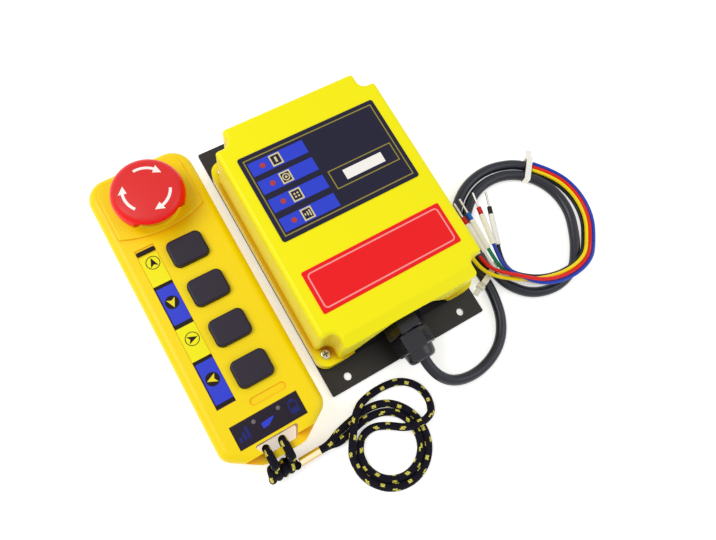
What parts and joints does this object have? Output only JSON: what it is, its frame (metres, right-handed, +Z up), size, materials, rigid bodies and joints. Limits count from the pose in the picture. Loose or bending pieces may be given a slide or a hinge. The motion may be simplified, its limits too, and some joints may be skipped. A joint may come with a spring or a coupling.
{
  "type": "crane radio remote control",
  "caption": "Yellow handheld crane transmitter with push buttons and a red twist-release stop button, a lanyard, and a yellow receiver box on a mounting plate with a coiled supply cable.",
  "frame": {"origin": "on the table, under the middle of the box around the handset and the receiver, without their cords", "axes": "+Z up out of both fronts; +Y along both units towards the stop button; +X from the handset to the receiver"},
  "size_m": [0.2727, 0.2298, 0.0514],
  "materials": {
    "handset_yellow": "satin",
    "seal_rubber": "matt",
    "key_rubber": "matt",
    "board_green": "satin",
    "switch_black": "matt",
    "button_black": "matt",
    "cell_sleeve": "gloss",
    "contact_metal": "gloss",
    "screw_steel": "satin",
    "blue_label": "satin",
    "yellow_label": "satin",
    "lens_black": "gloss",
    "panel_dark": "satin",
    "lamp_grey": "gloss",
    "stop_yellow": "satin",
    "stop_red": "satin",
    "spring_steel": "satin",
    "plate_dark": "satin",
    "base_dark": "matt",
    "lid_yellow": "satin",
    "relay_blue": "satin",
    "terminal_green": "satin",
    "transformer_dark": "matt",
    "radio_metal": "satin",
    "lamp_orange": "gloss",
    "label_navy": "satin",
    "notice_red": "satin",
    "gland_black": "satin",
    "cable_black": "satin",
    "wire_yellow": "satin",
    "wire_red": "satin",
    "wire_blue": "satin",
    "wire_green": "satin",
    "wire_black": "satin",
    "wire_white": "satin",
    "sleeve_white": "satin",
    "collar_red": "satin",
    "pin_tin": "satin",
    "tie_white": "satin",
    "lace_black": "woven",
    "crimp_brass": "gloss"
  },
  "bodies": {
    "units": {"handset_front_shell": "handset_yellow", "handset_rear_shell": "handset_yellow", "battery_cover": "handset_yellow", "handset_seal": "seal_rubber", "receiver_seal": "seal_rubber", "gland_bush": "seal_rubber", "key_domes": "key_rubber", "handset_board": "board_green", "main_board": "board_green", "key_switches": "switch_black", "battery_cells": "cell_sleeve", "battery_contacts": "contact_metal", "handset_screws": "screw_steel", "lid_screws": "screw_steel", "blue_labels": "blue_label", "yellow_labels": "yellow_label", "signal_lens": "lens_black", "status_panel": "panel_dark", "handset_lamps": "lamp_grey", "stop_collar": "stop_yellow", "stop_nut": "switch_black", "stop_contact_block": "switch_black", "stop_spring": "spring_steel", "mounting_plate": "plate_dark", "receiver_base": "base_dark", "receiver_lid": "lid_yellow", "relays": "relay_blue", "terminal_block": "terminal_green", "transformer": "transformer_dark", "radio_module": "radio_metal", "status_pipes": "lamp_orange", "info_label": "label_navy", "notice_plate": "notice_red", "gland_body": "gland_black", "gland_cap": "gland_black", "gland_locknut": "gland_black", "cable": "cable_black", "cable_coil": "cable_black", "wire_yellow": "wire_yellow", "wire_red": "wire_red", "wire_blue": "wire_blue", "wire_green": "wire_green", "wire_black": "wire_black", "wire_white": "wire_white", "wire_sleeves": "sleeve_white", "ferrule_collars": "collar_red", "ferrule_pins": "pin_tin", "cable_ties": "tie_white", "lanyard_cord": "lace_black", "lanyard_strand_left": "lace_black", "lanyard_strand_right": "lace_black", "lanyard_knot": "lace_black", "lanyard_crimp": "crimp_brass"},
    "button_1": {"button_1": "button_black"},
    "button_2": {"button_2": "button_black"},
    "button_3": {"button_3": "button_black"},
    "button_4": {"button_4": "button_black"},
    "stop_slider": {"stop_plunger": "switch_black"},
    "stop_button": {"stop_head": "stop_red", "stop_stem": "stop_red"}
  },
  "joints": [
    {"name": "button_1_press", "type": "slide", "parent": "units", "child": "button_1", "axis": [0, 0, -1], "range_m": [0, 0.0016], "stiffness_N_per_m": 1900, "deforming": ["key_domes"]},
    {"name": "button_2_press", "type": "slide", "parent": "units", "child": "button_2", "axis": [0, 0, -1], "range_m": [0, 0.0016], "stiffness_N_per_m": 1900, "deforming": ["key_domes"]},
    {"name": "button_3_press", "type": "slide", "parent": "units", "child": "button_3", "axis": [0, 0, -1], "range_m": [0, 0.0016], "stiffness_N_per_m": 1900, "deforming": ["key_domes"]},
    {"name": "button_4_press", "type": "slide", "parent": "units", "child": "button_4", "axis": [0, 0, -1], "range_m": [0, 0.0016], "stiffness_N_per_m": 1900, "deforming": ["key_domes"]},
    {"name": "stop_press", "type": "slide", "parent": "units", "child": "stop_slider", "axis": [0, 0, -1], "range_m": [0, 0.0045], "deforming": ["stop_spring"]},
    {"name": "stop_twist", "type": "hinge", "parent": "stop_slider", "child": "stop_button", "pos_m": [-0.056, 0.0623, 0.04], "axis": [0, 0, -1], "range_deg": [0, 45], "stiffness_Nm_per_rad": 0.04}
  ]
}
